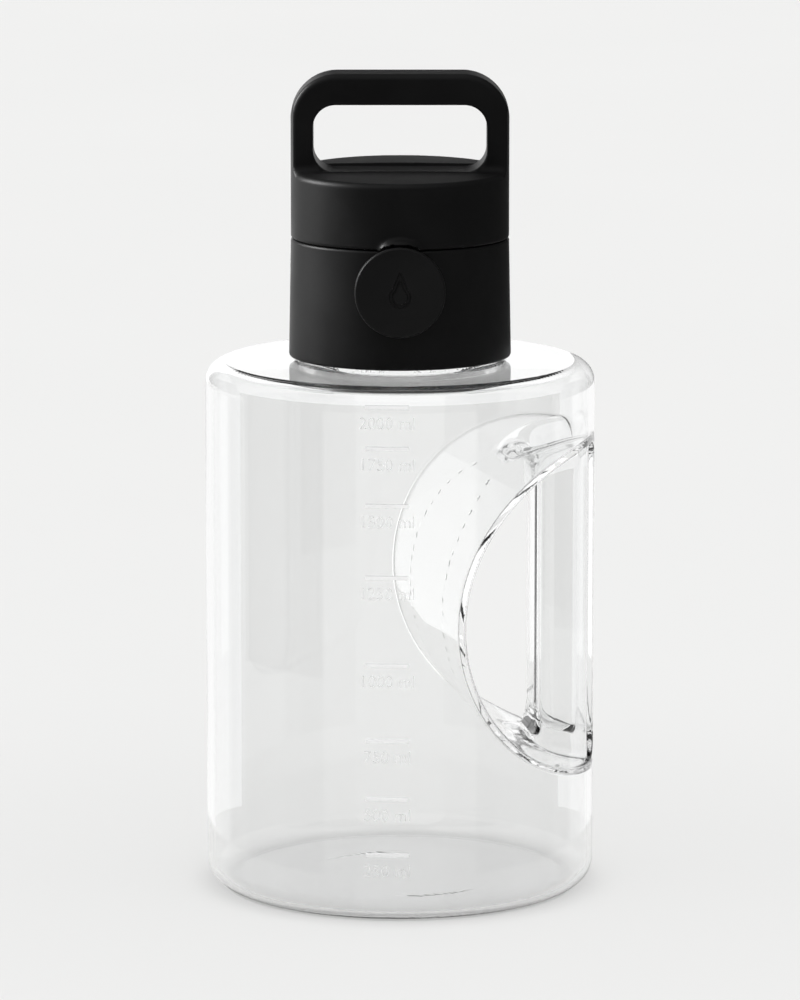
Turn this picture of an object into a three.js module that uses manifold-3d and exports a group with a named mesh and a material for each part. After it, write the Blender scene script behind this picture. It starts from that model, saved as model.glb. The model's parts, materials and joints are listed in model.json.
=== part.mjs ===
// Large water jug: a clear body with a handle tunnel, and a screw lid with a push-button flip cap.
// Millimetres, +Z up, origin at the centre of the base, the button facing -Y.
import * as THREE from "three";
import { mergeVertices } from "three/addons/utils/BufferGeometryUtils.js";
import Module from "manifold-3d";

const wasm = await Module();
wasm.setup();

// Clearances
const GAP = 0.35; // between two pieces that touch on the real object
const OVERSHOOT = 1; // how far a cutting tool runs past the face that it cuts

// Jug body
const BODY_RADIUS = 67;
const BODY_HEIGHT = 183;
const BASE_FILLET = 9;
const SHOULDER_FILLET = 7.5;
const BODY_WALL = 3.4;
const NECK_BORE = 29.8;
const NECK_RADIUS = 33.2;
const NECK_BEAD_RADIUS = 34.9;
const NECK_BEAD_TOP = 185.9;
const NECK_TOP = 207;

// Handle: a round tunnel across the body, with a hollow grip post left standing at its mouth
const HANDLE_TURN = THREE.MathUtils.degToRad(10); // the handle's direction, counted from +X
const TUNNEL_RADIUS = 56;
const TUNNEL_HEIGHT = 100.3;
const POST_INNER_FACE = 46;
const POST_HALF_WIDTH = 12.5;
const POST_CORNER = 6;
const POST_WALL = 2.8;

// Volume marks, raised on the front of the body
const MARK_AZIMUTH = THREE.MathUtils.degToRad(-3.7);
const MARK_LENGTH = 14.5;
const MARK_HEIGHT = 1.4;
const MARK_RELIEF = 0.4;
// Lower edge of each mark, 250 ml apart: the steps widen where the tunnel narrows the hollow
const MARK_LEVELS = [23.3, 42.6, 62.7, 88.6, 118.6, 143, 162.4, 176.4];

// Two-start screw thread
const THREAD_LEAD = 8;
const THREAD_STARTS = 2;
const THREAD_SWEEP = THREE.MathUtils.degToRad(300);
const THREAD_BOTTOM = 189.5;
const THREAD_DEPTH = 1;
const THREAD_ROOT_HEIGHT = 1.6;
const THREAD_CREST_HEIGHT = 0.9;
const THREAD_STEPS = 28;

// Lid
const CAP_RADIUS = 37.35;
const COLLAR_FOOT_RADIUS = 38.1;
const COLLAR_BOTTOM = 184.8;
const COLLAR_BORE = 36.25;
const COLLAR_DECK = 2.85;
const COLLAR_FOOT_EDGE = 0.8;
const PARTING = 225.6;
const PARTING_HALF_GAP = 0.15;
const INSERT_RADIUS = 35.9;
const INSERT_BORE = 34.55;
const INSERT_BOTTOM = 186.3;
const INSERT_DECK_TOP = 211.5;
const INSERT_DECK_BOTTOM = 209.3;
const GASKET_INNER = 30.3;
const GASKET_OUTER = 33.6;

// Spout and air vent
const SPOUT_Y = -4;
const SPOUT_RADIUS = 13;
const SPOUT_BORE = 11;
const SPOUT_TOP = 233;
const VENT_Y = 20;
const VENT_RADIUS = 3.4;
const VENT_BORE = 1.3;
const VENT_TOP = 224.6;

// Cap and carry loop
const CAP_WALL = 2.2;
const CAP_ROOF = 3;
const DECK_EDGE = 248.65;
const DECK_FILLET = 1.9;
const DECK_DOME = 0.6;
const DECK_SLOPE = 0.018; // rise of the deck towards the rear, per millimetre
const LOOP_TOP = 282.2;
const LOOP_CORNER = 16;
const LOOP_HALF_DEPTH = 9;
const LOOP_EDGE = 4;
const WINDOW_HALF_WIDTH = 29.6;
const WINDOW_BOTTOM = 248.7;
const WINDOW_TOP = 271.6;
const WINDOW_CORNER = 7.7;

// Inner plate of the cap
const LINER_BOTTOM = 226.05;
const LINER_TOP = 228.05;
const LINER_RADIUS = 34.8;
const CUP_BORE = 14.8;
const CUP_WALL = 1.5;
const SEAL_TOP = 236.7;
const PLUG_DEPTH = 2.5; // how far the stopper reaches into the spout
const PLUG_ROOM = 0.5;
const VENT_BUTTON_RADIUS = 2.6;

// Push button and latch
const BUTTON_RADIUS = 15.3;
const BUTTON_HEIGHT = 212;
const BUTTON_FRONT = -43;
const BUTTON_BACK_RADIUS = 40.65;
const BUTTON_SKIRT = 3; // how far the button's blank runs behind the cap's radius before its back is cut round
const BUTTON_EDGE = 0.7;
const BUTTON_TRAVEL = 2.2;
const BROW_HALF_WIDTH = 6.7;
const BROW_DEPTH = 3.2;
const BROW_HEIGHT = 3.9;
const STEM_HALF_WIDTH = 5;
const STEM_BOTTOM = 214.5;
const STEM_TOP = 218.5;
const SLIDER_FRONT = -34.6;
const SLIDER_REAR = -21.5;
const SLIDER_HALF_WIDTH = 9.3;
const SLIDER_BOTTOM = 215.2;
const SLIDER_TOP = 218.2;
const SLIDER_LUG = 2.1;
const RAIL_FRONT = -31;
const RAIL_WIDTH = 1.5;
const RAIL_LIP = 1.2;
const CATCH_HALF_WIDTH = 4;
const CATCH_FRONT = -29.5;
const CATCH_REAR = -27.5;
const CATCH_TIP = -26;
const CATCH_ROOM_FRONT = 2.8; // free space that the catch needs to swing out, before and behind it
const CATCH_ROOM_REAR = 0.8;
const CATCH_BOTTOM = 212.9;
const BARB_TOP = 214.9;
const SPRING_X = 7;
const SPRING_Z = 213.35;
const SPRING_RADIUS = 1.25;
const SPRING_WIRE = 0.3;
const SPRING_SEAT = -23;

// Rear hinge
const HINGE_Y = 35.8;
const KNUCKLE_RADIUS = 3.2;
const HINGE_CLEARANCE = 3.6;
const PIN_RADIUS = 1.1;
const PIN_BORE = 1.45;
const CAP_KNUCKLE_END = 4.3;
const LUG_START = 9.4;
const LUG_END = 13.6;
const LUG_DROP = 4 * COLLAR_DECK; // how far each lug's tapered foot runs down the collar
const LUG_FOOT_Y = 33.8;
const KNUCKLE_WEB_FRONT = 33.6;
const KNUCKLE_WEB_REAR = 36.9;
const COIL_RADIUS = 2.2;
const COIL_WIRE = 0.4;
const COIL_TURNS = 3;
const COIL_PITCH = 1;
const COIL_LEG = 6; // the leg that hangs inside the collar's wall
const COIL_ARM = 4.8; // the leg that stands up inside the cap's wall
const HINGE_NOTCH_FRONT = 27.5;

// Roundness of the faceted solids
const BODY_SEGMENTS = 60;
const LID_SEGMENTS = 48;
const SMALL_SEGMENTS = 20;
const CORNER_STEPS = 3;

// ---------------------------------------------------------------- solids from three.js shapes

function solidOf(geometry) {
  const bare = geometry.index ? geometry.toNonIndexed() : geometry.clone();
  bare.deleteAttribute("normal");
  bare.deleteAttribute("uv");
  const merged = mergeVertices(bare, 1e-4);
  return new wasm.Manifold(
    new wasm.Mesh({
      numProp: 3,
      vertProperties: merged.attributes.position.array,
      triVerts: new Uint32Array(merged.index.array),
    }),
  );
}

function geometryOf(solid) {
  const mesh = solid.getMesh();
  const geometry = new THREE.BufferGeometry();
  geometry.setAttribute("position", new THREE.BufferAttribute(mesh.vertProperties, 3));
  geometry.setIndex(new THREE.BufferAttribute(mesh.triVerts, 1));
  geometry.computeVertexNormals();
  return geometry;
}

function joined(solids) {
  return solids.reduce((whole, piece) => whole.add(piece));
}

// A profile of [radius, height] pairs turned about the vertical line through (x, y).
function turned(profile, segments, x = 0, y = 0) {
  const points = profile.map(([radius, height]) => new THREE.Vector2(radius, height));
  const geometry = new THREE.LatheGeometry(points, segments);
  geometry.rotateX(Math.PI / 2);
  geometry.translate(x, y, 0);
  return solidOf(geometry);
}

function tubeProfile(inner, outer, bottom, top) {
  return [
    [inner, bottom],
    [outer, bottom],
    [outer, top],
    [inner, top],
    [inner, bottom],
  ];
}

function discProfile(radius, bottom, top) {
  return [
    [0, bottom],
    [radius, bottom],
    [radius, top],
    [0, top],
  ];
}

function block(x0, x1, y0, y1, z0, z1) {
  const geometry = new THREE.BoxGeometry(x1 - x0, y1 - y0, z1 - z0);
  geometry.translate((x0 + x1) / 2, (y0 + y1) / 2, (z0 + z1) / 2);
  return solidOf(geometry);
}

// A round bar along X, from x0 to x1.
function barAlongX(radius, x0, x1, y, z, segments = SMALL_SEGMENTS) {
  const geometry = new THREE.CylinderGeometry(radius, radius, x1 - x0, segments);
  geometry.rotateZ(Math.PI / 2);
  geometry.translate((x0 + x1) / 2, y, z);
  return solidOf(geometry);
}

// A round bar along Y, from y0 to y1.
function barAlongY(radius, y0, y1, x, z, segments = SMALL_SEGMENTS) {
  const geometry = new THREE.CylinderGeometry(radius, radius, y1 - y0, segments);
  geometry.translate(x, (y0 + y1) / 2, z);
  return solidOf(geometry);
}

// Points of a quarter round from one direction to the next, for lathe profiles.
function corner(radius, height, size, fromDegrees, toDegrees) {
  const points = [];
  for (let step = 0; step <= CORNER_STEPS; step += 1) {
    const share = step / CORNER_STEPS;
    const angle = THREE.MathUtils.degToRad(fromDegrees + (toDegrees - fromDegrees) * share);
    points.push([radius + size * Math.cos(angle), height + size * Math.sin(angle)]);
  }
  return points;
}

// A rectangle with round corners, drawn in the shape's own plane.
function roundedRectangle(left, right, bottom, top, radius) {
  const shape = new THREE.Shape();
  shape.moveTo(left + radius, bottom);
  shape.absarc(right - radius, bottom + radius, radius, -Math.PI / 2, 0);
  shape.absarc(right - radius, top - radius, radius, 0, Math.PI / 2);
  shape.absarc(left + radius, top - radius, radius, Math.PI / 2, Math.PI);
  shape.absarc(left + radius, bottom + radius, radius, Math.PI, 1.5 * Math.PI);
  return shape;
}

// A shape drawn in X and Z, given depth along Y on both sides of the middle plane.
function slab(shape, halfDepth, edge, edgeSteps) {
  const geometry = new THREE.ExtrudeGeometry(shape, {
    depth: 2 * (halfDepth - edge),
    bevelEnabled: edge > 0,
    bevelThickness: edge,
    bevelSize: edge,
    bevelOffset: -edge,
    bevelSegments: edgeSteps,
    curveSegments: 6,
  });
  geometry.translate(0, 0, -(halfDepth - edge));
  geometry.rotateX(Math.PI / 2);
  return solidOf(geometry);
}

// ---------------------------------------------------------------- screw thread

// One rib of a screw thread: a straight bar bent onto a helix, narrower at its crest.
function threadRib(rootRadius, crestRadius, bottom, startAngle) {
  const geometry = new THREE.BoxGeometry(1, 1, 1, THREAD_STEPS, 1, 1);
  const position = geometry.attributes.position;
  const inward = crestRadius < rootRadius;
  for (let i = 0; i < position.count; i += 1) {
    const along = 0.5 - position.getX(i);
    const outer = position.getY(i) > 0;
    const radius = outer === inward ? rootRadius : crestRadius;
    const height = radius === crestRadius ? THREAD_CREST_HEIGHT : THREAD_ROOT_HEIGHT;
    const angle = startAngle + along * THREAD_SWEEP;
    const climb = (THREAD_LEAD * along * THREAD_SWEEP) / (2 * Math.PI);
    position.setXYZ(
      i,
      radius * Math.cos(angle),
      radius * Math.sin(angle),
      bottom + climb + position.getZ(i) * height,
    );
  }
  return solidOf(geometry);
}

function threadRibs(rootRadius, crestRadius, bottom) {
  const ribs = [];
  for (let start = 0; start < THREAD_STARTS; start += 1) {
    const angle = (2 * Math.PI * start) / THREAD_STARTS;
    ribs.push(threadRib(rootRadius, crestRadius, bottom, angle));
  }
  return joined(ribs);
}

// ---------------------------------------------------------------- jug

// The body's outline turned about its axis, drawn in by the wall for the hollow.
function vessel(inset) {
  const radius = BODY_RADIUS - inset;
  const base = BASE_FILLET - inset;
  const shoulder = SHOULDER_FILLET - inset;
  return turned(
    [
      [0, inset],
      ...corner(radius - base, inset + base, base, -90, 0),
      ...corner(radius - shoulder, BODY_HEIGHT - inset - shoulder, shoulder, 0, 90),
      [0, BODY_HEIGHT - inset],
    ],
    BODY_SEGMENTS,
  );
}

// The grip post's section, drawn in by the wall for its hollow, standing from below the tunnel to above it.
function post(inset) {
  const inner = POST_INNER_FACE + inset;
  const half = POST_HALF_WIDTH - inset;
  const shape = roundedRectangle(inner, BODY_RADIUS + BASE_FILLET, -half, half, POST_CORNER - inset);
  const height = 2 * TUNNEL_RADIUS + 4 * BODY_WALL;
  const geometry = new THREE.ExtrudeGeometry(shape, {
    depth: height,
    bevelEnabled: false,
    curveSegments: CORNER_STEPS,
  });
  geometry.translate(0, 0, TUNNEL_HEIGHT - height / 2);
  geometry.rotateZ(HANDLE_TURN);
  return solidOf(geometry);
}

// The round tunnel, widened by the wall for the hollow.
function tunnel(widening) {
  const radius = TUNNEL_RADIUS + widening;
  const geometry = new THREE.CylinderGeometry(radius, radius, 3 * BODY_RADIUS, BODY_SEGMENTS);
  geometry.translate(BODY_RADIUS, 0, TUNNEL_HEIGHT);
  geometry.rotateZ(HANDLE_TURN);
  return solidOf(geometry);
}

function volumeMarks() {
  const ring = (height) =>
    turned(
      tubeProfile(BODY_RADIUS - BODY_WALL / 2, BODY_RADIUS + MARK_RELIEF, height, height + MARK_HEIGHT),
      BODY_SEGMENTS,
    );
  const middle = BODY_RADIUS * Math.sin(MARK_AZIMUTH);
  const half = MARK_LENGTH / 2;
  const strip = block(middle - half, middle + half, -BODY_RADIUS - OVERSHOOT, 0, 0, BODY_HEIGHT);
  return joined(MARK_LEVELS.map(ring)).intersect(strip);
}

function jugBody() {
  const handleCut = tunnel(0).subtract(post(0));
  const hollowLimit = tunnel(BODY_WALL).subtract(post(POST_WALL));
  const neck = turned(
    [
      [0, BODY_HEIGHT - BODY_WALL / 2],
      [NECK_BEAD_RADIUS, BODY_HEIGHT - BODY_WALL / 2],
      [NECK_BEAD_RADIUS, NECK_BEAD_TOP],
      [NECK_RADIUS, NECK_BEAD_TOP],
      [NECK_RADIUS, NECK_TOP],
      [0, NECK_TOP],
    ],
    BODY_SEGMENTS,
  );
  const thread = threadRibs(NECK_RADIUS - THREAD_DEPTH / 2, NECK_RADIUS + THREAD_DEPTH, THREAD_BOTTOM);
  const bore = turned(
    discProfile(NECK_BORE, BODY_HEIGHT - 2 * BODY_WALL, NECK_TOP + OVERSHOOT),
    BODY_SEGMENTS,
  );
  return vessel(0)
    .subtract(handleCut)
    .add(neck)
    .add(thread)
    .add(volumeMarks())
    .subtract(vessel(BODY_WALL).subtract(hollowLimit))
    .subtract(bore);
}

function neckGasket() {
  return turned(
    tubeProfile(GASKET_INNER, GASKET_OUTER, NECK_TOP + GAP, INSERT_DECK_BOTTOM - GAP),
    LID_SEGMENTS,
  );
}

// ---------------------------------------------------------------- lid

function spoutInsert() {
  const threadBottom = THREAD_BOTTOM + THREAD_LEAD / THREAD_STARTS / 2;
  const sleeve = turned(
    [
      [0, INSERT_DECK_BOTTOM],
      [INSERT_BORE, INSERT_DECK_BOTTOM],
      [INSERT_BORE, INSERT_BOTTOM],
      [INSERT_RADIUS, INSERT_BOTTOM],
      [INSERT_RADIUS, INSERT_DECK_TOP],
      [0, INSERT_DECK_TOP],
    ],
    LID_SEGMENTS,
  );
  const thread = threadRibs(INSERT_BORE + THREAD_DEPTH / 2, INSERT_BORE - THREAD_DEPTH, threadBottom);
  const spout = turned(discProfile(SPOUT_RADIUS, INSERT_DECK_BOTTOM, SPOUT_TOP), LID_SEGMENTS, 0, SPOUT_Y);
  const vent = turned(discProfile(VENT_RADIUS, INSERT_DECK_BOTTOM, VENT_TOP), SMALL_SEGMENTS, 0, VENT_Y);
  const below = INSERT_DECK_BOTTOM - OVERSHOOT;
  const spoutBore = turned(discProfile(SPOUT_BORE, below, SPOUT_TOP + OVERSHOOT), LID_SEGMENTS, 0, SPOUT_Y);
  const ventBore = turned(discProfile(VENT_BORE, below, VENT_TOP + OVERSHOOT), SMALL_SEGMENTS, 0, VENT_Y);
  return joined([sleeve, thread, spout, vent, ...latchRails()])
    .subtract(spoutBore)
    .subtract(ventBore);
}

// Guide rails for the latch slider, and the seats of its two springs.
function latchRails() {
  const railInner = SLIDER_HALF_WIDTH + GAP;
  const railTop = SLIDER_TOP + GAP;
  const foot = INSERT_DECK_TOP - GAP;
  const seatTop = SLIDER_BOTTOM - GAP;
  const pieces = [];
  for (const side of [-1, 1]) {
    const outer = side * (railInner + RAIL_WIDTH);
    const inner = side * railInner;
    const [x0, x1] = [Math.min(inner, outer), Math.max(inner, outer)];
    const lipInner = side * (railInner - RAIL_WIDTH);
    const [lip0, lip1] = [Math.min(lipInner, outer), Math.max(lipInner, outer)];
    pieces.push(block(x0, x1, RAIL_FRONT, SLIDER_REAR, foot, railTop + RAIL_LIP));
    pieces.push(block(lip0, lip1, RAIL_FRONT, SLIDER_REAR, railTop, railTop + RAIL_LIP));
    const middle = side * SPRING_X;
    const half = SPRING_RADIUS + SPRING_WIRE;
    pieces.push(block(middle - half, middle + half, SPRING_SEAT, SPRING_SEAT + RAIL_WIDTH, foot, seatTop));
  }
  return pieces;
}

// A hinge lug seen from the side: round at the pin, tapering down onto the collar's wall.
function hingeLug(x0, x1) {
  const shape = new THREE.Shape();
  shape.absarc(HINGE_Y, PARTING, KNUCKLE_RADIUS, 0, Math.PI);
  shape.lineTo(HINGE_Y - KNUCKLE_RADIUS, PARTING - COLLAR_DECK);
  shape.lineTo(LUG_FOOT_Y, PARTING - LUG_DROP);
  shape.closePath();
  const geometry = new THREE.ExtrudeGeometry(shape, { depth: x1 - x0, bevelEnabled: false, curveSegments: 10 });
  geometry.rotateY(Math.PI / 2);
  geometry.rotateX(Math.PI / 2);
  geometry.translate(x0, 0, 0);
  return solidOf(geometry);
}

function hingePocket(halfLength) {
  return barAlongX(HINGE_CLEARANCE, -halfLength, halfLength, HINGE_Y, PARTING);
}

function lidCollar() {
  const top = PARTING - PARTING_HALF_GAP;
  const ceiling = top - COLLAR_DECK;
  const shell = turned(
    [
      [0, ceiling],
      [COLLAR_BORE, ceiling],
      [COLLAR_BORE, COLLAR_BOTTOM],
      [COLLAR_FOOT_RADIUS - COLLAR_FOOT_EDGE, COLLAR_BOTTOM],
      [COLLAR_FOOT_RADIUS, COLLAR_BOTTOM + COLLAR_FOOT_EDGE],
      [CAP_RADIUS, top],
      [0, top],
    ],
    LID_SEGMENTS,
  );
  const bores = [
    turned(
      discProfile(SPOUT_RADIUS + GAP, ceiling - OVERSHOOT, top + OVERSHOOT),
      LID_SEGMENTS,
      0,
      SPOUT_Y,
    ),
    turned(discProfile(VENT_RADIUS + GAP, ceiling - OVERSHOOT, top + OVERSHOOT), SMALL_SEGMENTS, 0, VENT_Y),
  ];
  const catchSlot = block(
    -CATCH_HALF_WIDTH - 2 * GAP,
    CATCH_HALF_WIDTH + 2 * GAP,
    CATCH_FRONT - CATCH_ROOM_FRONT,
    CATCH_TIP + CATCH_ROOM_REAR,
    ceiling - OVERSHOOT,
    top + OVERSHOOT,
  );
  const stemSlot = block(
    -STEM_HALF_WIDTH - 2 * GAP,
    STEM_HALF_WIDTH + 2 * GAP,
    -COLLAR_FOOT_RADIUS - OVERSHOOT,
    SLIDER_FRONT,
    STEM_BOTTOM - 2 * GAP,
    STEM_TOP + 2 * GAP,
  );
  const pocketHalf = LUG_START - GAP;
  const legSlot = block(
    -pocketHalf,
    pocketHalf,
    HINGE_Y - HINGE_CLEARANCE,
    HINGE_Y,
    ceiling - OVERSHOOT,
    top + OVERSHOOT,
  );
  const lugs = joined([hingeLug(LUG_START, LUG_END), hingeLug(-LUG_END, -LUG_START)]);
  return [...bores, catchSlot, stemSlot, hingePocket(pocketHalf), legSlot]
    .reduce((whole, cut) => whole.subtract(cut), shell)
    .add(lugs)
    .subtract(barAlongX(PIN_BORE, -LUG_END - OVERSHOOT, LUG_END + OVERSHOOT, HINGE_Y, PARTING));
}

function hingePin() {
  return barAlongX(PIN_RADIUS, -LUG_END, LUG_END, HINGE_Y, PARTING);
}

// A wire that follows a list of points, with a round section.
function wire(points, radius, stepsPerPoint) {
  const curve = new THREE.CatmullRomCurve3(points);
  const section = new THREE.Shape();
  section.absarc(0, 0, radius, 0, 2 * Math.PI);
  const geometry = new THREE.ExtrudeGeometry(section, {
    steps: points.length * stepsPerPoint,
    extrudePath: curve,
    curveSegments: 3,
  });
  return solidOf(geometry);
}

// Torsion spring round the pin: one leg hangs inside the collar's wall, the other stands up inside the cap's.
function hingeSpring(side) {
  const pointsPerTurn = 10;
  const start = LUG_START - GAP - COIL_WIRE;
  const front = HINGE_Y - COIL_RADIUS;
  const points = [];
  for (const drop of [COIL_LEG, COIL_LEG / 2]) {
    points.push(new THREE.Vector3(side * start, front, PARTING - drop));
  }
  for (let step = 0; step <= COIL_TURNS * pointsPerTurn; step += 1) {
    const turns = step / pointsPerTurn;
    const angle = Math.PI + 2 * Math.PI * turns;
    points.push(
      new THREE.Vector3(
        side * (start - COIL_PITCH * turns),
        HINGE_Y + COIL_RADIUS * Math.cos(angle),
        PARTING - COIL_RADIUS * Math.sin(angle),
      ),
    );
  }
  const end = side * (start - COIL_PITCH * COIL_TURNS);
  for (const rise of [COIL_ARM / 2, COIL_ARM]) {
    points.push(new THREE.Vector3(end, front, PARTING + rise));
  }
  return wire(points, COIL_WIRE, 1);
}

// ---------------------------------------------------------------- flip cap

function carryLoop() {
  const outline = roundedRectangle(-CAP_RADIUS, CAP_RADIUS, DECK_EDGE - LOOP_CORNER, LOOP_TOP, LOOP_CORNER);
  const bar = slab(outline, LOOP_HALF_DEPTH, LOOP_EDGE, 2);
  const stock = turned(discProfile(CAP_RADIUS, DECK_EDGE - CAP_ROOF, LOOP_TOP + OVERSHOOT), LID_SEGMENTS);
  return bar.intersect(stock);
}

function loopWindow() {
  const shape = roundedRectangle(
    -WINDOW_HALF_WIDTH,
    WINDOW_HALF_WIDTH,
    WINDOW_BOTTOM,
    WINDOW_TOP,
    WINDOW_CORNER,
  );
  return slab(shape, LOOP_HALF_DEPTH + GAP, 0, 1);
}

// The cap's outer form, with its deck domed and rising slightly towards the rear.
function capForm() {
  const points = [
    [0, PARTING + PARTING_HALF_GAP],
    [CAP_RADIUS, PARTING + PARTING_HALF_GAP],
    ...corner(CAP_RADIUS - DECK_FILLET, DECK_EDGE - DECK_FILLET, DECK_FILLET, 0, 90),
    [CAP_RADIUS / 2, DECK_EDGE + 0.8 * DECK_DOME],
    [0, DECK_EDGE + DECK_DOME],
  ];
  const geometry = new THREE.LatheGeometry(
    points.map(([radius, height]) => new THREE.Vector2(radius, height)),
    LID_SEGMENTS,
  );
  geometry.rotateX(Math.PI / 2);
  const position = geometry.attributes.position;
  for (let i = 0; i < position.count; i += 1) {
    if (position.getZ(i) > DECK_EDGE - DECK_FILLET - GAP) {
      position.setZ(i, position.getZ(i) + DECK_SLOPE * position.getY(i));
    }
  }
  return solidOf(geometry);
}

// The small brow over the button, hollowed out to let the button pass.
function buttonBrow() {
  const foot = PARTING + PARTING_HALF_GAP;
  const geometry = new THREE.SphereGeometry(1, SMALL_SEGMENTS, SMALL_SEGMENTS / 2);
  geometry.scale(BROW_HALF_WIDTH, BROW_DEPTH, BROW_HEIGHT);
  geometry.translate(0, -CAP_RADIUS + GAP, foot);
  const above = block(
    -BROW_HALF_WIDTH,
    BROW_HALF_WIDTH,
    BUTTON_FRONT,
    -CAP_RADIUS + CAP_WALL,
    foot,
    DECK_EDGE,
  );
  const passage = barAlongY(
    BUTTON_RADIUS + GAP,
    BUTTON_FRONT,
    -CAP_RADIUS - GAP,
    0,
    BUTTON_HEIGHT,
    LID_SEGMENTS,
  );
  return solidOf(geometry).intersect(above).subtract(passage);
}

function capKnuckle() {
  const ends = [-CAP_KNUCKLE_END, CAP_KNUCKLE_END];
  const round = barAlongX(KNUCKLE_RADIUS, ...ends, HINGE_Y, PARTING);
  const web = block(...ends, KNUCKLE_WEB_FRONT, KNUCKLE_WEB_REAR, PARTING, PARTING + 2 * HINGE_CLEARANCE);
  return round.add(web);
}

function capShell() {
  const hollow = turned(
    [
      [0, PARTING - OVERSHOOT],
      [CAP_RADIUS - CAP_WALL, PARTING - OVERSHOOT],
      [CAP_RADIUS - CAP_WALL, DECK_EDGE - CAP_ROOF],
      [0, DECK_EDGE - CAP_ROOF],
    ],
    LID_SEGMENTS,
  );
  return capForm()
    .add(carryLoop())
    .add(buttonBrow())
    .subtract(loopWindow())
    .subtract(hollow)
    .subtract(hingePocket(LUG_END + GAP))
    .add(capKnuckle())
    .subtract(barAlongX(PIN_BORE, -LUG_END, LUG_END, HINGE_Y, PARTING));
}

function capLiner() {
  const cupOuter = CUP_BORE + CUP_WALL;
  const roofBottom = SEAL_TOP + GAP;
  const below = LINER_BOTTOM - OVERSHOOT;
  const plate = turned(discProfile(LINER_RADIUS, LINER_BOTTOM, LINER_TOP), LID_SEGMENTS);
  const cup = turned(discProfile(cupOuter, LINER_BOTTOM, roofBottom + CUP_WALL), LID_SEGMENTS, 0, SPOUT_Y);
  const cupHollow = turned(discProfile(CUP_BORE, below, roofBottom), LID_SEGMENTS, 0, SPOUT_Y);
  const ventHole = turned(
    discProfile(VENT_BORE + 2 * GAP, below, LINER_TOP + OVERSHOOT),
    SMALL_SEGMENTS,
    0,
    VENT_Y,
  );
  const stem = block(
    -CATCH_HALF_WIDTH,
    CATCH_HALF_WIDTH,
    CATCH_FRONT,
    CATCH_REAR,
    CATCH_BOTTOM,
    LINER_BOTTOM + GAP,
  );
  const barb = block(-CATCH_HALF_WIDTH, CATCH_HALF_WIDTH, CATCH_REAR - GAP, CATCH_TIP, CATCH_BOTTOM, BARB_TOP);
  const hingeNotch = block(
    -LUG_END - GAP,
    LUG_END + GAP,
    HINGE_NOTCH_FRONT,
    CAP_RADIUS,
    below,
    LINER_TOP + OVERSHOOT,
  );
  return joined([plate, cup, stem, barb]).subtract(cupHollow).subtract(ventHole).subtract(hingeNotch);
}

function spoutSeal() {
  const plugRadius = SPOUT_BORE - PLUG_ROOM;
  const face = SPOUT_TOP + GAP;
  return turned(
    [
      [0, face - PLUG_DEPTH],
      [plugRadius - GAP, face - PLUG_DEPTH],
      [plugRadius, face],
      [CUP_BORE - GAP, face],
      [CUP_BORE - GAP, SEAL_TOP],
      [0, SEAL_TOP],
    ],
    LID_SEGMENTS,
    0,
    SPOUT_Y,
  );
}

function ventSeal() {
  const head = VENT_RADIUS - GAP;
  const headTop = LINER_BOTTOM - GAP;
  return turned(
    [
      [0, VENT_TOP + GAP],
      [head, VENT_TOP + GAP],
      [head, headTop],
      [VENT_BORE + GAP, headTop],
      [VENT_BORE + GAP, LINER_TOP + GAP],
      [VENT_BUTTON_RADIUS, LINER_TOP + GAP],
      [VENT_BUTTON_RADIUS, LINER_TOP + 3 * GAP],
      [0, LINER_TOP + 3 * GAP],
    ],
    SMALL_SEGMENTS,
    0,
    VENT_Y,
  );
}

// ---------------------------------------------------------------- push button and latch

function buttonFace() {
  const depth = -BUTTON_FRONT - CAP_RADIUS + BUTTON_SKIRT;
  const geometry = new THREE.LatheGeometry(
    [
      new THREE.Vector2(0, 0),
      new THREE.Vector2(BUTTON_RADIUS - BUTTON_EDGE, 0),
      new THREE.Vector2(BUTTON_RADIUS, BUTTON_EDGE),
      new THREE.Vector2(BUTTON_RADIUS, depth),
      new THREE.Vector2(0, depth),
    ],
    LID_SEGMENTS,
  );
  geometry.translate(0, BUTTON_FRONT, BUTTON_HEIGHT);
  const round = turned(
    discProfile(
      BUTTON_BACK_RADIUS,
      BUTTON_HEIGHT - BUTTON_RADIUS - OVERSHOOT,
      BUTTON_HEIGHT + BUTTON_RADIUS + OVERSHOOT,
    ),
    2 * LID_SEGMENTS,
  );
  const stem = block(
    -STEM_HALF_WIDTH,
    STEM_HALF_WIDTH,
    BUTTON_FRONT + BUTTON_EDGE,
    SLIDER_FRONT - GAP,
    STEM_BOTTOM,
    STEM_TOP,
  );
  return solidOf(geometry).subtract(round).add(stem);
}

function latchSlider() {
  const windowFront = CATCH_FRONT - BUTTON_TRAVEL - GAP;
  const windowRear = CATCH_TIP + GAP;
  const windowHalf = CATCH_HALF_WIDTH + 2 * GAP;
  const plate = block(
    -SLIDER_HALF_WIDTH,
    SLIDER_HALF_WIDTH,
    SLIDER_FRONT,
    SLIDER_REAR,
    SLIDER_BOTTOM,
    SLIDER_TOP,
  );
  const lug = block(
    -SLIDER_HALF_WIDTH,
    SLIDER_HALF_WIDTH,
    SLIDER_FRONT,
    SLIDER_FRONT + SLIDER_LUG,
    INSERT_DECK_TOP + 2 * GAP,
    SLIDER_TOP,
  );
  const window = block(
    -windowHalf,
    windowHalf,
    windowFront,
    windowRear,
    SLIDER_BOTTOM - OVERSHOOT,
    SLIDER_TOP + OVERSHOOT,
  );
  return plate.add(lug).subtract(window);
}

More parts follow.
